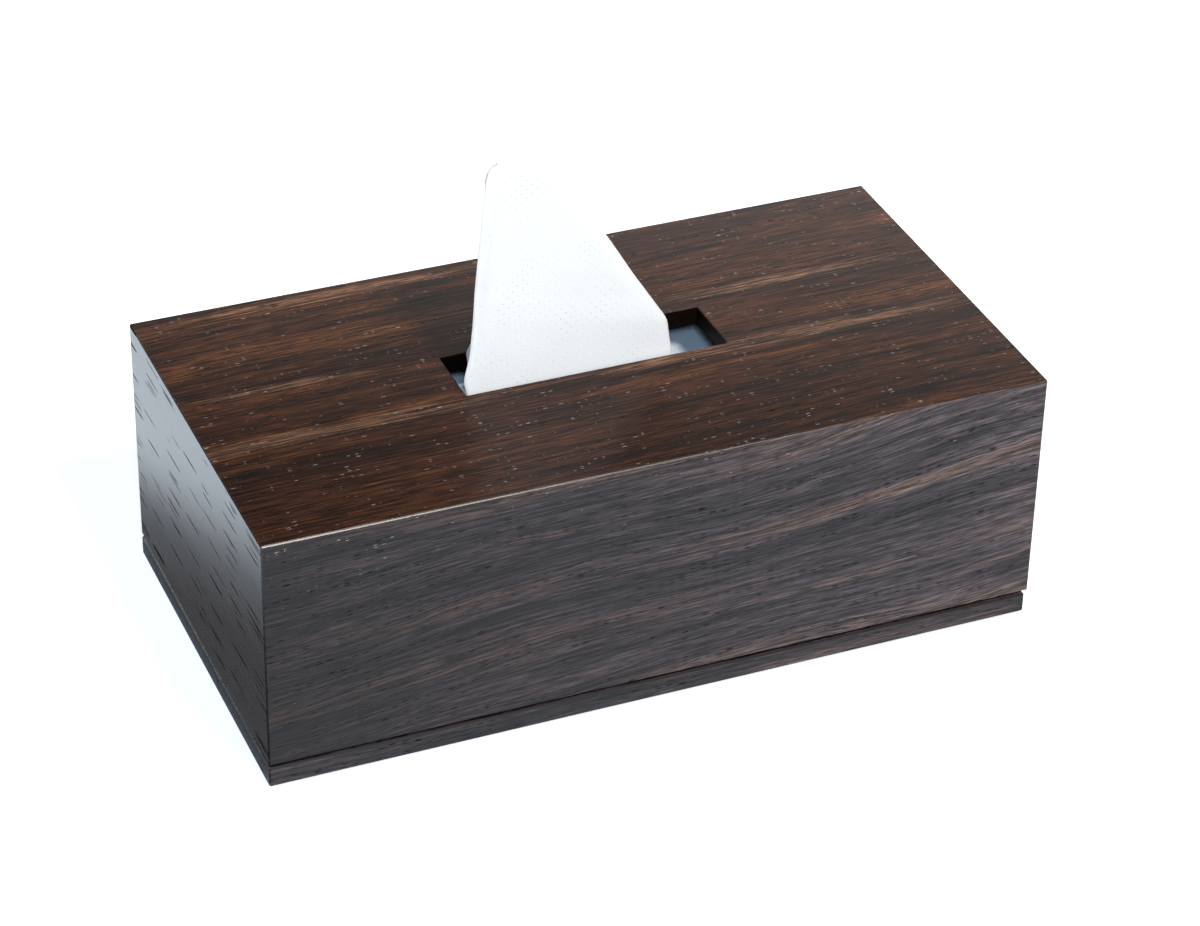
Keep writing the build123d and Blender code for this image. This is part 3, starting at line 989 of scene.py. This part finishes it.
@dataclass
class Cover:
    """The mitred cover: three walls, the top with its slot, edge strips and inner blocks.

    Attributes:
        slot_reach: the slot's sides lie within this distance of the box's middle, and
            the top's other upright faces beyond it, in millimetres.
    """

    slot_reach: float = 60.0

    def dress(self) -> None:
        """Gives each board its own leaf of veneer, and the inside its plain timber."""
        top = walnut(
            "top", TOP_BANDS, leaf=(0.0, 43.0, 0.0), slope=-1.5, bright_pores=0.12,
            dark_pores=0.16, ring_depth=0.8, paling=(0.16, 0.3), gloss=0.15,
            stripes=(
                (-95.0, -15.0, 75.0, 4.5), (62.0, -13.0, 85.0, 4.5), (76.0, 20.0, 50.0, 3.5),
                (-97.0, 14.0, 35.0, 2.2), (-60.0, 62.0, 70.0, 3.0),
            ),
        )
        front = walnut(
            "front", FRONT_BANDS, leaf=(310.0, 70.0, 0.0), slope=-4.0, wander=16.0,
            dark_pores=0.27, bright_pores=0.1, glints_above=84.0, pore_length=2.3,
            pore_width=0.15, row_edge=0.44, paling=(0.7, 0.0),
        )
        rear = walnut(
            "rear", FRONT_BANDS, leaf=(900.0, 170.0, 0.0), slope=3.0, wander=16.0,
            dark_pores=0.3, bright_pores=0.12, glints_above=84.0, pore_length=2.6,
            pore_width=0.17,
        )
        end = walnut(
            "end", END_BANDS, Grain.ALONG_Y, leaf=(500.0, 20.0, 0.0), slope=1.0, wander=4.0,
            bright_pores=0.0, pore_length=13.0, pore_width=0.5, row_width=2.6, row_edge=0.43,
            relief=0.003, sheen=0.19,
        )
        lining = SolidTimber(
            "Stained poplar backing, sanded", "#23160F", "#3A2619", roughness=0.65
        ).material()
        edge = SolidTimber("Stained board edge", "#070403", "#150A06", gloss=0.08).material()
        blocks = SolidTimber("Stained beech glue block, sanded", "#2B1B11", "#4A3020").material()

        dress(["top_panel", "top_edge_lipping"], top)
        dress(["front_wall", "front_edge_lipping"], front)
        dress(["rear_wall", "rear_edge_lipping"], rear)
        dress(["left_end_wall"], end)
        dress(["corner_blocks", "top_blocks"], blocks)
        dress_faces(
            "top_panel", edge,
            lambda at, normal: abs(normal.z) < 0.5 and abs(at.x) < self.slot_reach,
        )
        for name in ("front_wall", "rear_wall"):
            dress_faces(name, lining, lambda at, normal: normal.y * at.y < -1)
        dress_faces("left_end_wall", lining, lambda at, normal: normal.x > 0.9)
        dress_faces("top_panel", lining, lambda at, normal: normal.z < -0.9)
        # The strips cover the boards' ends with their fibres along the boards' edges.
        for way, grain, leaf, names in (
            ("level", Grain.ALONG_Y, (210.0, 5.0, 0.0), ["top_edge_lipping"]),
            ("upright", Grain.ALONG_Z, (30.0, 90.0, 0.0),
             ["front_edge_lipping", "rear_edge_lipping"]),
        ):
            strip = OpenPoreVeneer(
                f"Smoked walnut edge strip, satin lacquer, {way}", FRONT_BANDS, grain,
                leaf=leaf, dark_pores=0.2, bright_pores=0.0,
            ).material()
            for name in names:
                dress_faces(name, strip, lambda at, normal: normal.x > 0.5)


@dataclass
class Drawer:
    """The drawer: base board, front, grooved and dovetailed sides, back and dowels.

    Attributes:
        arris_y: the base board's long arrises lie beyond this distance from the middle,
            in millimetres.
    """

    arris_y: float = 60.0

    def dress(self) -> None:
        """Gives the drawer's boards their veneer and timber."""
        base = walnut(
            "base", FRONT_BANDS, leaf=(650.0, 33.0, 12.0), dark_pores=0.3, bright_pores=0.05
        )
        base_end = walnut(
            "base end", END_BANDS, Grain.ALONG_Y, leaf=(120.0, 9.0, 5.0), dark_pores=0.3,
            bright_pores=0.0,
        )
        face = walnut(
            "drawer front", FRONT_BANDS, Grain.ALONG_Y, leaf=(40.0, 77.0, 3.0),
            dark_pores=0.3, bright_pores=0.08,
        )
        beech = partial(SolidTimber, dark="#3B2416", light="#5E3D27")
        side = beech("Stained beech, oiled").material()
        back = beech("Stained beech, oiled, back", grain=Grain.ALONG_Y).material()
        runner = SolidTimber("Waxed beech", "#8A6440", "#B58C60", roughness=0.4).material()
        arris = SolidTimber(
            "Stained board edge, sanded", "#150F0D", "#221814", gloss=0.15
        ).material()
        dress(["base_board"], base)
        dress_faces("base_board", base_end, lambda at, normal: abs(normal.x) > 0.8)
        dress_faces(
            "base_board", arris,
            lambda at, normal: 0.3 < normal.z < 0.95 and abs(at.y) > self.arris_y,
        )
        dress(["drawer_front"], face)
        dress(["front_drawer_side", "rear_drawer_side", "front_dowels"], side)
        dress(["drawer_back"], back)
        dress(["front_runner", "rear_runner"], runner)


@dataclass
class Fittings:
    """Screws, catch magnets and discs.

    Attributes:
        zinc_roughness: how rough the zinc plating is.
        nickel_roughness: how rough the magnets' plating is.
    """

    zinc_roughness: float = 0.35
    nickel_roughness: float = 0.22

    def dress(self) -> None:
        """Gives the metal parts their plating."""
        zinc = PlatedMetal("Zinc-plated steel, tumbled", "#C9CBCC", self.zinc_roughness)
        nickel = PlatedMetal("Nickel-plated magnet", "#D6D2CA", self.nickel_roughness)
        dress(["base_screws", "runner_screws", "catch_discs"], zinc.material())
        dress(["catch_magnets"], nickel.material())


# ------------------------------------------------------------------ tissues


def clamped(value: float) -> float:
    """Keeps a share between 0 and 1."""
    return max(0.0, min(1.0, value))


def read_off(curve: Curve, at: float) -> float:
    """Reads a value off a curve of straight runs.

    Args:
        curve: its points, each a place and the value there.
        at: the place asked for.

    Returns:
        The value, which stays the same beyond the curve's ends.
    """
    for (z0, v0), (z1, v1) in zip(curve, curve[1:]):
        if at <= z1:
            return v0 + (v1 - v0) * max(0.0, (at - z0) / (z1 - z0))
    return curve[-1][1]


@dataclass
class PulledTissue:
    """The tissue in the slot: two legs over the slot, the rest folded to and fro under it.

    All sizes are in millimetres. A row is one line of the sheet from left to right.

    Attributes:
        flat_width: width of the unfolded tissue; not used.
        flat_length: length of the unfolded tissue; not used.
        front_y: the front leg's place in the slot.
        rear_y: the rear leg's place in the slot.
        tip_y: the top fold's place.
        tip_z: height of the top fold at its left end.
        tip_fall: how far the top fold falls towards the right, as a slope.
        fold_half: half the top fold's depth.
        fold_rise: height of its round.
        bow: how far a leg bows out between the slot and the top fold.
        foot: how far over its pile a leg starts.
        rear_inset: how far inside the front leg's left and right edges the rear leg's
            lie, low down.
        slot_z: height from which the legs lean towards each other.
        pile_top: height under which the sheet lies in its piles.
        wave_start: height from which its waves and curled edges grow.
        wave_rise: how much higher they are full.
        curl: how far its left and its right edge curl.
        curl_reach: how far in from each edge the curl reaches.
        crease_z: height at which the front leg's crease starts at the right edge.
        crease_rise: how steeply it rises to the left, as a slope.
        crease_depth: how deep it is there.
        crease_half: half its width.
        crease_length: how far from the right edge it fades out.
        left: left edge under the slot.
        upper_right: right edge of the upper pile.
        lower_right: right edge of the lower pile.
        lower_z: heights of the lower pile.
        upper_z: heights of the upper pile.
        left_edge: heights over the slot, each with the place of the sheet's left edge.
        right_edge: the same for its right edge.
        rounding: how far up and down the edges' corners are rounded.
        layers: folds in each pile.
        pile_rows: mesh rows in one layer of a pile.
        leg_rows: mesh rows in a leg.
        thickness: thickness of the two plies.
        columns: mesh columns across the sheet.
    """

    flat_width: float = 200.0
    flat_length: float = 190.0
    front_y: float = -10.4
    rear_y: float = 7.5
    tip_y: float = -3.0
    tip_z: float = 165.5
    tip_fall: float = 0.16
    fold_half: float = 0.9
    fold_rise: float = 1.0
    bow: float = 1.6
    foot: float = 0.4
    rear_inset: tuple[float, float] = (7.0, 1.5)
    slot_z: float = 90.0
    pile_top: float = 83.0
    wave_start: float = 92.0
    wave_rise: float = 30.0
    curl: tuple[float, float] = (2.4, 0.8)
    curl_reach: tuple[float, float] = (3.2, 3.0)
    crease_z: float = 102.0
    crease_rise: float = 0.2
    crease_depth: float = 0.5
    crease_half: float = 9.0
    crease_length: float = 58.0
    left: float = -44.0
    upper_right: float = 25.6
    lower_right: float = 39.6
    lower_z: tuple[float, float] = (72.3, 76.8)
    upper_z: tuple[float, float] = (77.8, 82.1)
    left_edge: Curve = (
        (76, -44.0), (90, -44.0), (94, -45.0), (102, -42.2), (113, -40.2), (138, -37.4),
        (157, -35.4), (161, -34.8), (164, -33.6), (165.5, -31.4),
    )
    right_edge: Curve = (
        (76, 25.6), (90, 25.4), (96, 24.7), (102.4, 24.0), (104.6, 22.5), (120, 12.9),
        (133, 5.6), (147, -2.7), (158.5, -9.3), (161.5, -11.2), (165.5, -17.5),
    )
    rounding: tuple[float, ...] = (-1.6, -0.8, 0.0, 0.8, 1.6)
    layers: int = 7
    pile_rows: int = 12
    leg_rows: int = 64
    thickness: float = 0.2
    columns: int = 56

    def pile(self, heights: tuple[float, float], right: float) -> list[Row]:
        """Gives the rows of one folded pile.

        Args:
            heights: heights of its lowest and its highest layer.
            right: its right edge.

        Returns:
            Its rows, from its free end at the bottom rear.
        """
        low, high = heights
        step = (high - low) / (self.layers - 1)
        start, end = self.rear_y - step / 2, self.front_y + step / 2
        rows = []
        for layer in range(self.layers):
            z = low + layer * step
            for n in range(self.pile_rows + 1):
                rows.append((start + (end - start) * (n / self.pile_rows), z, self.left, right))
            if layer < self.layers - 1:
                side = 1 if end > start else -1
                for sine, cosine in half_turn(6):
                    y = end + side * step / 2 * sine
                    rows.append((y, z + step / 2 * (1 - cosine), self.left, right))
            start, end = end, start
        return rows

    def outline(self, z: float, rear: bool) -> tuple[float, float]:
        """Gives the sheet's edges over the slot.

        Args:
            z: height in millimetres.
            rear: whether it is the rear leg, which is a little narrower.

        Returns:
            The left and the right edge.
        """
        near_tip = min(1.0, (self.tip_z - z) / 5)
        places = [z + shift * near_tip for shift in self.rounding]
        left, right = (
            sum(read_off(curve, place) / len(places) for place in places)
            for curve in (self.left_edge, self.right_edge)
        )
        if rear:
            left += self.rear_inset[0] * clamped((160 - z) / 60)
            right -= self.rear_inset[1] * clamped((150 - z) / 40)
        return left, right

    def leg(self, base: float, foot: float, rear: bool) -> list[Row]:
        """Gives the rows of one leg between its pile and the top fold.

        Args:
            base: the leg's place in the slot.
            foot: height where it leaves its pile.
            rear: whether it is the rear leg.

        Returns:
            Its rows, from its foot upwards.
        """
        side = 1 if rear else -1
        rows = []
        for n in range(self.leg_rows + 1):
            z = foot + (self.tip_z - self.fold_rise - foot) * (n / self.leg_rows)
            lean = max(0.0, (z - self.slot_z) / (self.tip_z - self.slot_z))
            y = base + (self.tip_y + side * self.fold_half - base) * lean
            y += -side * self.bow * math.sin(math.pi * lean)
            rows.append((y, z, *self.outline(z, rear)))
        return rows

    def build(self) -> Object:
        """Builds the sheet as one thin closed mesh.

        Returns:
            The tissue, with the UV map of the flat sheet in metres.
        """
        rows = self.pile(self.lower_z, self.lower_right)
        rows += self.leg(self.front_y, self.lower_z[1] + self.foot, rear=False)
        tip = self.outline(self.tip_z, rear=False)
        for sine, cosine in half_turn(8):
            z = self.tip_z - self.fold_rise + self.fold_rise * sine
            rows.append((self.tip_y - self.fold_half * cosine, z, *tip))
        rows += reversed(self.leg(self.rear_y, self.upper_z[1] + self.foot, rear=True))
        rows.append((self.rear_y, self.upper_z[1] + self.foot / 2, self.left, self.upper_right))
        rows += reversed(self.pile(self.upper_z, self.upper_right))

        points: list[Point] = []
        spots: list[tuple[float, float]] = []
        run = 0.0
        for before, (y, z, left, right) in zip([rows[0], *rows], rows):
            run += math.hypot(y - before[0], z - before[1])
            for c in range(self.columns + 1):
                x = left + (right - left) * (c / self.columns)
                points.append((x, *self.waved((x, y, z), x - left, right - x)))
                spots.append((x * MM, run * MM))
        faces = strips(len(rows), self.columns + 1, closed=False)
        sheet = mesh_piece("pulled_sheet", points, faces)
        layer = sheet.data.uv_layers.new(name="flat sheet")
        for loop in sheet.data.loops:
            layer.data[loop.index].uv = spots[loop.vertex_index]
        plies = sheet.modifiers.new("plies", "SOLIDIFY")
        plies.thickness = self.thickness * MM
        plies.offset = 0.0
        return baked(sheet)

    def waved(self, at: Point, from_left: float, from_right: float) -> tuple[float, float]:
        """Adds the sheet's soft waves, its curled edges and the crease in its front.

        Args:
            at: place on the sheet.
            from_left: distance from the sheet's left edge.
            from_right: distance from its right edge.

        Returns:
            The waved y and z.
        """
        x, y, z = at
        if z < self.pile_top:
            return y, z + 0.12 * math.sin(0.23 * x + 0.9 * y)
        soft = 0.5 * math.sin(0.085 * x + 0.03 * z) + 0.25 * math.sin(0.21 * x - 0.05 * z)
        curl = sum(
            most * math.exp(-((away / reach) ** 2))
            for most, away, reach in zip(self.curl, (from_left, from_right), self.curl_reach)
        )
        # Close to the top fold the two legs curl less, so that they do not cross.
        curl = min(curl, 0.6 * abs(y - self.tip_y))
        side = -1 if y > self.tip_y else 1
        if side > 0:
            # The crease runs up from the right edge and fades out to the left.
            from_crease = abs(z - self.crease_z - self.crease_rise * from_right)
            across = max(0.0, 1 - from_crease / self.crease_half)
            y -= self.crease_depth * across * max(0.0, 1 - from_right / self.crease_length)
        over = clamped((z - self.wave_start) / self.wave_rise)
        high = max(0.0, (z - self.slot_z) / (self.tip_z - self.slot_z))
        return y + over * (soft + side * curl), z - self.tip_fall * from_left * high**4


@dataclass
class TissueStack:
    """The stack in the drawer: folded tissues, each a thin sheet bent over at one side.

    Attributes:
        layer: thickness of one folded tissue, in millimetres, as coarse as shows.
        leaf_share: thickness of one of its two leaves, as a share of that.
        parting: how far from the fold's outside the leaves part, in millimetres.
        play: how far a tissue lies out of line, in millimetres.
        seed: seed of its random shifts.
    """

    layer: float = 1.5
    leaf_share: float = 0.46
    parting: float = 2.0
    play: float = 0.35
    seed: int = 5

    def folded(self) -> Object:
        """Builds one folded tissue: two leaves joined by a round fold at the front.

        Returns:
            The folded tissue, its fold at -Y, centred on the origin.
        """
        low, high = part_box("tissue_stack")
        size = (high - low) / MM
        depth, half = size.y / 2 - self.play, size.x / 2 - self.play
        leaf, radius = self.layer * self.leaf_share, self.layer / 2
        section = [
            (depth, radius), (depth, radius - leaf), (-depth + self.parting, 0.03),
            (depth, -radius + leaf), (depth, -radius),
        ]
        for sine, cosine in half_turn(8):
            section.append((-depth + radius - radius * sine, -radius * cosine))
        stations = (-half, -half / 3, half / 3, half)
        points = [(x, y, z) for x in stations for y, z in section]
        count = len(section)
        faces = strips(len(stations), count, closed=True)
        faces.append(tuple(range(count - 1, -1, -1)))
        faces.append(tuple(range(len(points) - count, len(points))))
        return mesh_piece("folded_tissue", points, faces, smooth=False)

    def build(self, paper: Material) -> Object:
        """Stacks the folded tissues with a Geometry Nodes tree.

        Args:
            paper: the tissue's material.

        Returns:
            The stack as a plain mesh.
        """
        low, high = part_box("tissue_stack")
        one = self.folded()
        count = int((high.z - low.z) / MM / self.layer)
        tree = bpy.data.node_groups.new("Stack of folded tissues", "GeometryNodeTree")
        sockets = {}
        for name, kind in (
            ("Geometry", "Geometry"), ("Tissue", "Object"), ("Count", "Int"), ("Pitch", "Float"),
            ("Play", "Float"), ("Seed", "Int"), ("Paper", "Material"),
        ):
            sockets[name] = tree.interface.new_socket(
                name, in_out="INPUT", socket_type=f"NodeSocket{kind}"
            )
        tree.interface.new_socket("Geometry", in_out="OUTPUT", socket_type="NodeSocketGeometry")
        add = partial(add_node, tree)
        given = add("NodeGroupInput").outputs
        rise = add("CombineXYZ", {"Z": given["Pitch"]})
        line = add("GeometryNodeMeshLine", {"Count": given["Count"], "Offset": rise}, mode="OFFSET")
        shape = add(
            "GeometryNodeObjectInfo", {"As Instance": True, "Object": given["Tissue"]},
            transform_space="ORIGINAL",
        )
        # Every other tissue lies with its fold at the rear.
        odd = add("Math", {0: add("GeometryNodeInputIndex"), 1: 2.0}, operation="MODULO")
        turn = add("Math", {0: odd, 1: math.pi}, operation="MULTIPLY")
        spin = add("CombineXYZ", {"Z": turn})
        placed = add(
            "GeometryNodeInstanceOnPoints",
            {"Points": line, "Instance": shape.outputs["Geometry"], "Rotation": spin},
        )
        back = add("Math", {0: given["Play"], 1: -1.0}, operation="MULTIPLY")
        most = add("CombineXYZ", {"X": given["Play"], "Y": given["Play"]})
        least = add("CombineXYZ", {"X": back, "Y": back})
        shift = add(
            "FunctionNodeRandomValue", {"Min": least, "Max": most, "Seed": given["Seed"]},
            data_type="FLOAT_VECTOR",
        )
        moved = add(
            "GeometryNodeTranslateInstances",
            {"Local Space": False, "Instances": placed, "Translation": shift},
        )
        real = add("GeometryNodeRealizeInstances", {0: moved})
        dressed = add("GeometryNodeSetMaterial", {"Geometry": real, "Material": given["Paper"]})
        add("NodeGroupOutput", {0: dressed})

        stack = mesh_piece("tissue_pack", [(0.0, 0.0, 0.0)], [])
        modifier = stack.modifiers.new("stack", "NODES")
        modifier.node_group = tree
        values = {
            "Tissue": one, "Count": count, "Pitch": (high.z - low.z) / count,
            "Play": self.play * MM, "Seed": self.seed, "Paper": paper,
        }
        for name, value in values.items():
            modifier[sockets[name].identifier] = value
        baked(stack)
        middle = (low + high) / 2
        start = low.z + (high.z - low.z) / count / 2
        stack.data.transform(Matrix.Translation((middle.x, middle.y, start)))
        bpy.data.objects.remove(one)
        return stack


@dataclass
class FeltPads:
    """The four felt pads under the base board.

    Attributes:
        sides: corners of a pad's outline.
        lower_edge: rings of the rounded lower edge: how far each lies in from the outline
            and over the bottom, in millimetres.
        upper_edge: the same for the upper edge, down from the top.
    """

    sides: int = 48
    lower_edge: Curve = ((0.35, 0.0), (0.08, 0.15), (0.0, 0.5))
    upper_edge: Curve = ((0.08, 0.12), (0.3, 0.0))

    def build(self, number: int) -> Object:
        """Builds one pad with pressed, rounded edges.

        Args:
            number: which pad, from 1.

        Returns:
            The pad.
        """
        low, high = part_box(f"foot_pad_{number}")
        centre = (low + high) / 2 / MM
        radius = (high.x - low.x) / 2 / MM
        bottom, top = low.z / MM, high.z / MM
        rings = [(radius * 0.5, bottom)]
        rings += [(radius - inset, bottom + up) for inset, up in self.lower_edge]
        rings += [(radius - inset, top - down) for inset, down in self.upper_edge]
        rings += [(radius * 0.5, top)]
        points = [(centre.x, centre.y, bottom)]
        for r, z in rings:
            for n in range(self.sides):
                turn = 2 * math.pi * n / self.sides
                points.append((centre.x + r * math.cos(turn), centre.y + r * math.sin(turn), z))
        points.append((centre.x, centre.y, top))
        faces = strips(len(rings), self.sides, closed=True, first=1)
        last = len(points) - 1 - self.sides
        for n in range(self.sides):
            after = (n + 1) % self.sides
            faces += [(0, 1 + after, 1 + n), (last + n, last + after, len(points) - 1)]
        return mesh_piece(f"felt_pad_{number}", points, faces)


# ------------------------------------------------------------------ main


def main() -> None:
    """Builds the studio and the box, and reports each piece."""
    logging.basicConfig(level=logging.INFO, format="%(name)s: %(message)s")
    bpy.context.scene.view_settings.view_transform = "Standard"
    Studio().build()
    Cover().dress()
    Drawer().dress()
    Fittings().dress()

    paper = TissuePaper("Creped tissue paper, dot embossed")
    tissue = PulledTissue()
    sheet = tissue.build()
    sheet.data.materials.append(paper.material())
    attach(sheet, "sheet")
    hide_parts("pulled_tissue")
    LOG.info("pulled_sheet: %d faces", len(sheet.data.polygons))

    # The stacked paper is painted greyer and cooler than the pulled sheet: painted shade of the
    # slot over the stack.
    pack_paper = TissuePaper("Creped tissue paper, stacked", colour="#E6EBEE", uses_uv=False)
    pack = TissueStack().build(pack_paper.material())
    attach(pack, "drawer")
    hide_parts("tissue_stack")
    LOG.info("tissue_pack: %d faces", len(pack.data.polygons))

    felt = WoolFelt().material()
    for number in range(1, 5):
        pad = FeltPads().build(number)
        pad.data.materials.append(felt)
        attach(pad, "drawer")
        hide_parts(f"foot_pad_{number}")
        LOG.info("%s: %d faces", pad.name, len(pad.data.polygons))


if __name__ == "__main__":
    main()
